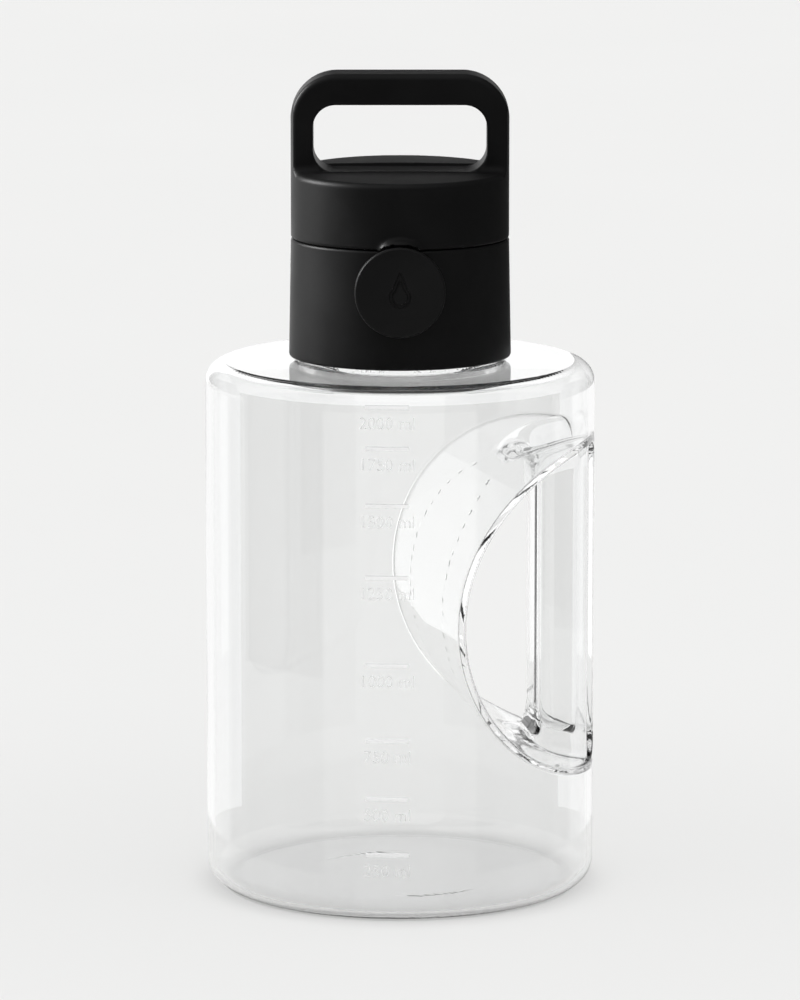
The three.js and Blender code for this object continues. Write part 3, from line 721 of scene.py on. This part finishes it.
def cap_field(x, y, z):
    bottom = PARTING + PARTING_HALF_GAP
    solid = cut_by(cap_and_loop(x, y, z, bottom), loop_window(x, y, z), WINDOW_EDGE)
    solid = blended_min(solid, brow_field(x, y, z, bottom), 1.2)
    button_middle = (BUTTON_LOW[2] + BUTTON_HIGH[2]) / 2
    passage = np.hypot(x, z - button_middle) - (BUTTON_HIGH[0] + ROUND_GAP)
    solid = cut_by(solid, np.maximum(passage, y + CAP_RADIUS + ROUND_GAP), 0.3)
    roof = DECK_EDGE - CAP_ROOF
    hollow = upright_disc(x, y, z, CAP_RADIUS - CAP_WALL, bottom - BELOW_ALL, roof, 1.0)
    solid = cut_by(solid, hollow, 0.4)
    solid = cut_by(solid, bar_along_x(x, y, z, KNUCKLE_ROOM, HINGE_SLOT_HALF), 0.3)
    knuckle = bar_along_x(x, y, z, KNUCKLE_RADIUS, KNUCKLE_HALF_WIDTH, 0.4)
    web_low = (-KNUCKLE_HALF_WIDTH, WEB_Y[0], PARTING)
    web_high = (KNUCKLE_HALF_WIDTH, WEB_Y[1], PARTING + WEB_HEIGHT)
    web = block(x, y, z, web_low, web_high)
    solid = np.minimum(solid, blended_min(knuckle, web, 0.8))
    return cut_by(solid, bar_along_x(x, y, z, PIN_HOLE, PAST_ANY_SIDE), 0.2)


def make_cap():
    piece = shaped("cap_skin", cap_field, CAP_LOW, CAP_HIGH, step=0.75)
    return finish_piece(piece, BLACK, "cap", "lid_black", "cap_shell")


def drop_mark(x, z):
    """A plain water drop, as an outline in the button's plane."""
    belly, height, half_line, below_centre = 3.6, 8.6, 0.55, 1.4
    z = z + below_centre
    round_part = np.hypot(x, z) - belly
    share = np.clip(z / height, 0, 1)
    side = belly * (1 - share) ** 0.85 * np.sqrt(1 - share * 0.25)
    point = np.maximum((np.abs(x) - side) * 0.85, np.maximum(-z, z - height))
    return np.abs(np.minimum(round_part, point) + half_line) - half_line


def button_field(x, y, z):
    middle = (BUTTON_LOW[2] + BUTTON_HIGH[2]) / 2
    front = BUTTON_LOW[1]
    half_depth = 10.0
    r = np.hypot(x, z - middle)
    disc = rounded_box(r, y - front - half_depth, BUTTON_HIGH[0], half_depth, BUTTON_EDGE)
    disc = blended_max(disc, BUTTON_BACK_RADIUS - np.hypot(x, y), BUTTON_EDGE)
    stem_low = (-STEM_HALF_WIDTH, front + 1.5, STEM_LEVELS[0])
    stem = block(x, y, z, stem_low, (STEM_HALF_WIDTH, BUTTON_HIGH[1], STEM_LEVELS[1]))
    groove_depth = 0.45
    groove = np.maximum(drop_mark(x, z - middle), y - front - groove_depth)
    return cut_by(np.minimum(disc, stem), groove, 0.25)


def make_button():
    piece = shaped("button_skin", button_field, BUTTON_LOW, BUTTON_HIGH, step=0.42)
    return finish_piece(piece, BLACK_BUTTON, "button", "lid_black", "button_face")


# ------------------------------------------------------------------ the lid's inside


def latch_guides(x, y, z):
    """The rails, lips and spring seats that hold the latch slider on the insert's deck."""
    front, back, foot = -31, -21.5, 211
    rail_half, lip_half, lip_thickness = 0.75, 1.5, 1.2
    seat_x, seat_half, seat_front, seat_top = 7, 1.55, -23, 214.85
    guides = []
    for side in (-1, 1):
        rail = side * RAIL_X
        lip = side * (RAIL_X - 0.75)
        lip_bottom = RAIL_TOP - lip_thickness
        seat = side * seat_x
        for middle, half, start, bottom, top in (
            (rail, rail_half, front, foot, RAIL_TOP),
            (lip, lip_half, front, lip_bottom, RAIL_TOP),
            (seat, seat_half, seat_front, foot, seat_top),
        ):
            guides.append(block(x, y, z, (middle - half, start, bottom), (middle + half, back, top)))
    return np.minimum.reduce(guides)


def insert_field(x, y, z):
    deck_bottom, deck_top = INSERT_DECK
    solid = upright_disc(x, y, z, INSERT_HIGH[0], INSERT_LOW[2], deck_top, 0.4)
    socket = upright_disc(x, y, z, INSERT_BORE, INSERT_LOW[2] - PAST_ANY_SIDE, deck_bottom, 0.4)
    solid = cut_by(solid, socket, 0.4)
    start, rib_radius = THREAD_START + THREAD_PITCH / 2, INSERT_BORE + SLEEVE_RIB["inset"]
    ribs = thread_rib(x, y, z, start, rib_radius, SLEEVE_RIB["size"], SLEEVE_RIB["sunk"])
    solid = blended_min(solid, ribs, SLEEVE_RIB["fillet"])
    spout = upright_disc(x, y, z, SPOUT_RADIUS, deck_bottom, INSERT_HIGH[2], 0.9, SPOUT_Y)
    vent = upright_disc(x, y, z, VENT_RADIUS, deck_bottom, VENT_TOP, 0.4, VENT_Y)
    solid = blended_min(solid, np.minimum(spout, vent), 1.0)
    solid = np.minimum(solid, latch_guides(x, y, z))
    spout_bore = np.hypot(x, y - SPOUT_Y) - SPOUT_BORE
    vent_bore = np.hypot(x, y - VENT_Y) - VENT_BORE
    return cut_by(solid, np.minimum(spout_bore, vent_bore), 0.8)


def make_insert():
    piece = shaped("insert_skin", insert_field, INSERT_LOW, INSERT_HIGH, step=0.8)
    return finish_piece(piece, INNER, "lid", "inner_plastic", "spout_insert")


def catch_hook(x, y, z, root):
    """The stem under the liner, with the barb that the latch holds."""
    low, half = LINER_LOW[2], 4
    stem_front, barb_front, stem_back, barb_back = -29.5, -28.5, -27.5, -26
    barb_height = 2.0
    stem = block(x, y, z, (-half, stem_front, low), (half, stem_back, root))
    barb = block(x, y, z, (-half, barb_front, low), (half, barb_back, low + barb_height), 0.4)
    return np.minimum(stem, barb)


def liner_field(x, y, z):
    plate_bottom, plate_top = LINER_PLATE
    plate = upright_disc(x, y, z, LINER_HIGH[0], plate_bottom, plate_top, 0.3)
    cup = upright_disc(x, y, z, LINER_CUP_RADIUS, plate_bottom, LINER_HIGH[2], 1.0, SPOUT_Y)
    cup_roof = LINER_HIGH[2] - LINER_CUP_WALL
    cup_bore = LINER_CUP_RADIUS - LINER_CUP_WALL
    hollow = upright_disc(x, y, z, cup_bore, plate_bottom - PAST_ANY_SIDE, cup_roof, 0.5, SPOUT_Y)
    solid = cut_by(blended_min(plate, cup, 1.0), hollow, 0.4)
    solid = cut_by(solid, np.hypot(x, y - VENT_Y) - LINER_VENT_HOLE, 0.3)
    notch_low, notch_high = LINER_NOTCH
    notch = block(x, y, z, (-HINGE_SLOT_HALF, *notch_low), (HINGE_SLOT_HALF, *notch_high))
    solid = cut_by(solid, notch, 0.3)
    return blended_min(solid, catch_hook(x, y, z, plate_bottom + 0.5), 0.6)


def make_liner():
    piece = shaped("liner_skin", liner_field, LINER_LOW, LINER_HIGH, step=0.8)
    return finish_piece(piece, INNER, "cap", "inner_plastic", "cap_liner")


def make_spout_seal():
    low, high = box_mm("spout_seal")
    disc_bottom = low[2] + 2.5
    plug_radius = 10.4

    def field(x, y, z):
        disc = upright_disc(x, y, z, high[0], disc_bottom, high[2], 0.6, SPOUT_Y)
        plug = upright_disc(x, y, z, plug_radius, low[2], high[2], 0.6, SPOUT_Y)
        return blended_min(disc, plug, 0.8)

    piece = shaped("spout_stopper", field, low, high, step=0.7)
    return finish_piece(piece, SEAL, "cap", "seals", "spout_seal")


def make_gasket():
    low, high = box_mm("neck_gasket")
    bore = 30.3
    middle, half = (high[0] + bore) / 2, (high[0] - bore) / 2
    level, half_height = (low[2] + high[2]) / 2, (high[2] - low[2]) / 2

    def field(x, y, z):
        return rounded_box(np.hypot(x, y) - middle, z - level, half, half_height, 0.5)

    piece = shaped("gasket_ring", field, low, high, step=0.6)
    return finish_piece(piece, SEAL, "neck_seal", "seals", "neck_gasket")


def make_button_springs():
    """The two coils behind the button. They ride with the lid and keep their length when it is pressed."""
    for side in ("left", "right"):
        node = f"button_spring_{side}"
        coil = bpy.data.objects.new(f"button_coil_{side}", frame["nodes"][node].data.copy())
        bpy.context.scene.collection.objects.link(coil)
        finish_piece(coil, STEEL, "lid", "steel", node)
        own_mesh(coil)


# ------------------------------------------------------------------ volume marks

MARK_AZIMUTH = math.radians(-3.7)
MARK_LENGTH = 14.5
MARK_HALF_HEIGHT = 0.7
MARK_RELIEF = 0.3
MARK_STEPS = 16
MARK_CLEARANCE = 0.03
MARK_LEVELS = [23.3, 42.6, 62.7, 88.6, 118.6, 143.0, 162.4, 176.4]
MARK_VOLUME = 250
LETTER_HEIGHT = 4.1
LETTER_RELIEF = 0.13
LETTER_THINNING = 0.035
TEXT_SIZE_PER_HEIGHT = 1.42
LETTERS_BELOW_MARK = 7.4


def wrapped(points, radius):
    """Flat points (across, up, out) bent round the jug's front."""
    angle = MARK_AZIMUTH + points[:, 0] / BODY_RADIUS
    out = radius + points[:, 2]
    return np.stack([out * np.sin(angle), -out * np.cos(angle), points[:, 1]], 1)


def number_mesh(words):
    curve = bpy.data.curves.new("words", "FONT")
    curve.body = words
    curve.align_x = "CENTER"
    curve.size = LETTER_HEIGHT * TEXT_SIZE_PER_HEIGHT
    curve.extrude = LETTER_RELIEF
    curve.offset = -LETTER_THINNING
    curve.resolution_u = 3
    text = bpy.data.objects.new("words", curve)
    bpy.context.scene.collection.objects.link(text)
    bpy.context.view_layer.update()
    mesh = bpy.data.meshes.new_from_object(text.evaluated_get(bpy.context.evaluated_depsgraph_get()))
    points = np.array([v.co for v in mesh.vertices])
    faces = [list(p.vertices) for p in mesh.polygons]
    bpy.data.objects.remove(text)
    return points, faces


def bar_mesh():
    """One tick: a low bar with sloping long sides."""
    half, top_half = MARK_HALF_HEIGHT, MARK_HALF_HEIGHT - 0.08
    ring = [(-half, 0.0), (half, 0.0), (top_half, MARK_RELIEF), (-top_half, MARK_RELIEF)]
    points, faces = [], []
    for step in range(MARK_STEPS + 1):
        across = (step / MARK_STEPS - 0.5) * MARK_LENGTH
        points += [(across, up, out) for up, out in ring]
    for step in range(MARK_STEPS):
        a = 4 * step
        faces += [[a + i, a + 4 + i, a + 4 + (i + 1) % 4, a + (i + 1) % 4] for i in range(4)]
    last = 4 * MARK_STEPS
    faces += [[0, 1, 2, 3], [last + 3, last + 2, last + 1, last]]
    return np.array(points), faces


def make_marks():
    points, faces = [], []
    total = 0
    for mark, level in enumerate(MARK_LEVELS):
        height = level + MARK_HALF_HEIGHT
        bar, bar_faces = bar_mesh()
        words, word_faces = number_mesh(f"{MARK_VOLUME * (mark + 1)} ml")
        words[:, 2] += LETTER_RELIEF
        below = height - LETTERS_BELOW_MARK
        for flat, flat_faces, up in ((bar, bar_faces, height), (words, word_faces, below)):
            placed = flat.copy()
            placed[:, 1] += up
            points.append(wrapped(placed, BODY_RADIUS + MARK_CLEARANCE))
            faces += [[total + i for i in face] for face in flat_faces]
            total += len(placed)
    mesh = bpy.data.meshes.new("volume_marks")
    mesh.from_pydata((np.concatenate(points) * MM).tolist(), [], faces)
    piece = bpy.data.objects.new("volume_marks", mesh)
    bpy.context.scene.collection.objects.link(piece)
    return finish_piece(piece, FROSTED, "jug", "clear_body")


# ------------------------------------------------------------------ studio, in metres and degrees


def staged(name, points, faces, material):
    mesh = bpy.data.meshes.new(name)
    mesh.from_pydata(points, [], faces)
    mesh.materials.append(material)
    piece = bpy.data.objects.new(name, mesh)
    bpy.context.scene.collection.objects.link(piece)
    return piece


def make_floor():
    half, sunk = 14.0, 0.0002
    corners = [(-half, -half, 0), (half, -half, 0), (half, half, 0), (-half, half, 0)]
    m = Nodes("floor_paper")
    m.set(Roughness=0.95, Specular_IOR_Level=0.0)
    tone = m.noise(3.0, detail=2.0)
    paper = m.ramp(tone, [(0.3, (0.797, 0.797, 0.791)), (0.7, (0.803, 0.803, 0.797))])
    m.link(paper, m.shader.inputs["Base Color"])
    staged("floor", corners, [(0, 1, 2, 3)], m.material).location.z = -sunk


def glowing(name, value):
    """A card's surface, lit evenly but for a slight mottle."""
    m = Nodes(name)
    m.set(Base_Color=(0.0, 0.0, 0.0, 1.0), Roughness=1.0, Specular_IOR_Level=0.0, Emission_Strength=1.0)
    low, high = 0.97 * value, 1.03 * value
    tone = m.ramp(m.noise(2.0), [(0.3, (low, low, low)), (0.7, (high, high, high))])
    m.link(tone, m.shader.inputs["Emission Color"])
    return m.material


def make_card(name, value, start, stop, bottom, top):
    """An upright card that shows only in the jug and the lid. Its ends are (azimuth, distance)."""
    steps = 36
    points, faces = [], []
    for step in range(steps + 1):
        share = step / steps
        azimuth = math.radians(start[0] + (stop[0] - start[0]) * share)
        distance = start[1] + (stop[1] - start[1]) * share
        x, y = distance * math.sin(azimuth), -distance * math.cos(azimuth)
        points += [(x, y, bottom), (x, y, top)]
    for step in range(steps):
        faces.append((2 * step, 2 * step + 2, 2 * step + 3, 2 * step + 1))
    card = staged(name, points, faces, glowing(name, value))
    card.visible_camera = False
    card.visible_diffuse = False
    card.visible_shadow = False
    return card


CARD_VALUE = {
    "dark": 0.15,
    "grey": 0.55,
    "middle": 0.70,
    "bright": 1.0,
    "far": 1.2,
    "rear": 1.05,
    "lid": 0.08,
}
NEAR = 0.13
FAR = 0.36
BEHIND = 0.95
DARK_START = 34.7
DARK_END = 80
MIDDLE_END = 95.7
BRIGHT_END = 150
FAR_ENDS = (148, 166)
DARK_SPLIT = 0.07
JUG_CARD_TOP = 0.165
FAR_TOP = 0.45
TALL = 0.40
REAR_LEVELS = (0.03, 0.36, 0.90)
LID_FRONT_CARD = (41.5, 0.30, 0.14)


def make_side_cards(side, name):
    """The cards of one side, whose azimuths from the front set the jug's upright stripes."""
    dark, middle = (side * DARK_START, NEAR), (side * DARK_END, NEAR)
    bright, end = (side * MIDDLE_END, NEAR), (side * BRIGHT_END, NEAR)
    far_start, far_end = ((side * azimuth, FAR) for azimuth in FAR_ENDS)
    make_card(f"dark_card_{name}", CARD_VALUE["dark"], dark, middle, DARK_SPLIT, TALL)
    make_card(f"grey_card_{name}", CARD_VALUE["grey"], dark, middle, 0.0, DARK_SPLIT)
    make_card(f"middle_card_{name}", CARD_VALUE["middle"], middle, bright, 0.0, JUG_CARD_TOP)
    make_card(f"bright_card_{name}", CARD_VALUE["bright"], bright, end, 0.0, JUG_CARD_TOP)
    make_card(f"far_card_{name}", CARD_VALUE["far"], far_start, far_end, 0.0, FAR_TOP)


def make_rear_cards():
    """Two light cards behind the jug. The upper one does not show in reflections."""
    bottom, split, top = REAR_LEVELS
    make_card("rear_card", CARD_VALUE["rear"], (-160, BEHIND), (-200, BEHIND), bottom, split)
    high = make_card("rear_card_high", CARD_VALUE["rear"], (-150, BEHIND), (-210, BEHIND), split, top)
    high.visible_glossy = False


def make_lid_cards():
    """Near-black cards for the lid's front and right side. They do not show through the clear jug."""
    azimuth, distance, bottom = LID_FRONT_CARD
    front_ends = ((-azimuth, distance), (azimuth, distance))
    right_ends = ((DARK_END, NEAR), (BRIGHT_END, NEAR))
    front = make_card("lid_card_front", CARD_VALUE["lid"], *front_ends, bottom, TALL)
    right = make_card("lid_card_right", CARD_VALUE["lid"], *right_ends, JUG_CARD_TOP, TALL)
    for card in (front, right):
        card.visible_transmission = False


def make_cards():
    make_side_cards(-1, "left")
    make_side_cards(1, "right")
    make_rear_cards()
    make_lid_cards()


def make_foot_shadow():
    """A hidden drum inside the jug's foot that only casts a shadow, as the thick clear foot would."""
    radius, bottom, top, sides, density = 0.0615, 0.0003, 0.012, 48, 0.42
    veil = glowing("foot_shadow", 0.0)
    veil.node_tree.nodes["Principled BSDF"].inputs["Alpha"].default_value = density
    turns = [math.tau * side / sides for side in range(sides)]
    points = [(radius * math.cos(turn), radius * math.sin(turn), z) for z in (bottom, top) for turn in turns]
    faces = [(i, (i + 1) % sides, (i + 1) % sides + sides, i + sides) for i in range(sides)]
    faces.append(tuple(range(sides, 2 * sides)))
    drum = staged("foot_shadow", points, faces, veil)
    drum.visible_camera = False
    drum.visible_glossy = False
    drum.visible_transmission = False


def make_dome():
    """Light walls and a roof round the studio, seen only through the clear jug."""
    half, height = 9.0, 9.0
    ring = [(-half, -half), (half, -half), (half, half), (-half, half)]
    points = [(x, y, z) for z in (0.0, height) for x, y in ring]
    faces = [(i, (i + 1) % 4, (i + 1) % 4 + 4, i + 4) for i in range(4)] + [(4, 5, 6, 7)]
    dome = staged("dome", points, faces, glowing("dome", 0.92))
    dome.visible_camera = False
    dome.visible_diffuse = False
    dome.visible_glossy = False
    dome.visible_shadow = False


def make_light(name, kind, place, aim, energy):
    light = bpy.data.lights.new(name, kind)
    light.energy = energy
    lamp = bpy.data.objects.new(name, light)
    lamp.location = place
    lamp.rotation_euler = (Vector(aim) - Vector(place)).to_track_quat("-Z", "Y").to_euler()
    bpy.context.scene.collection.objects.link(lamp)
    return lamp


def make_lights(black_pieces):
    """A very wide overhead light for the floor, and a softbox on the left for the lid alone."""
    overhead = make_light("overhead", "SUN", place=(0, 0, 2), aim=(0, 0, 0), energy=2.26)
    overhead.data.angle = math.radians(100)
    overhead.visible_glossy = False
    overhead.visible_transmission = False
    key = make_light("key_softbox", "AREA", place=(-1.15, 0.25, 0.75), aim=(0, 0, 0.22), energy=44.0)
    key.data.shape = "RECTANGLE"
    key.data.size, key.data.size_y = 0.5, 0.7
    key.visible_transmission = False
    lit = bpy.data.collections.new("lit_by_key")
    key.light_linking.receiver_collection = lit
    for piece in black_pieces:
        lit.objects.link(piece)


def make_world():
    """A sky that is light on the camera's side and dark behind the jug."""
    world = bpy.data.worlds.new("studio")
    bpy.context.scene.world = world
    world.use_nodes = True
    tree = world.node_tree
    background = tree.nodes["Background"]
    place = tree.nodes.new("ShaderNodeTexCoord")
    parts = tree.nodes.new("ShaderNodeSeparateXYZ")
    tree.links.new(place.outputs["Generated"], parts.inputs["Vector"])
    spread = tree.nodes.new("ShaderNodeMapRange")
    spread.inputs["From Min"].default_value = -1.0
    tree.links.new(parts.outputs["Y"], spread.inputs["Value"])
    ramp = tree.nodes.new("ShaderNodeValToRGB")
    front_to_back = [(0.0, 0.75), (0.45, 0.55), (0.62, 0.11), (1.0, 0.07)]
    fill_ramp(ramp.color_ramp, [(at, (value, value, value)) for at, value in front_to_back])
    tree.links.new(spread.outputs["Result"], ramp.inputs["Fac"])
    tree.links.new(ramp.outputs["Color"], background.inputs["Color"])


def make_camera():
    """A long lens, 2.1 m away and looking down ten degrees, on a 36 mm sensor."""
    distance, tilt = 2.1045, math.radians(10.1)
    target = Vector((0, 0, 0.13394))
    camera = bpy.data.cameras.new("camera")
    camera.lens = 219.6
    camera.sensor_width = 36.0
    camera.clip_end = 60.0
    eye = bpy.data.objects.new("camera", camera)
    bpy.context.scene.collection.objects.link(eye)
    eye.location = target + distance * Vector((0, -math.cos(tilt), math.sin(tilt)))
    eye.rotation_euler = (math.pi / 2 - tilt, 0, 0)
    bpy.context.scene.camera = eye


def make_stage(black_pieces):
    make_floor()
    make_cards()
    make_foot_shadow()
    make_dome()
    make_lights(black_pieces)
    make_world()
    make_camera()
    light_bounces = 24
    scene = bpy.context.scene
    scene.view_settings.view_transform = "Standard"
    scene.cycles.max_bounces = light_bounces
    scene.cycles.transmission_bounces = light_bounces
    scene.cycles.glossy_bounces = light_bounces


make_jug_body()
make_marks()
black_lid = [make_collar(), make_cap(), make_button()]
make_insert()
make_liner()
make_spout_seal()
make_gasket()
repaint("vent_seal", SEAL)
repaint("latch_slider", INNER)
for steel_node in ("hinge_pin", "hinge_spring_left", "hinge_spring_right"):
    repaint(steel_node, STEEL)
make_button_springs()
make_stage(black_lid)

bpy.context.view_layer.update()
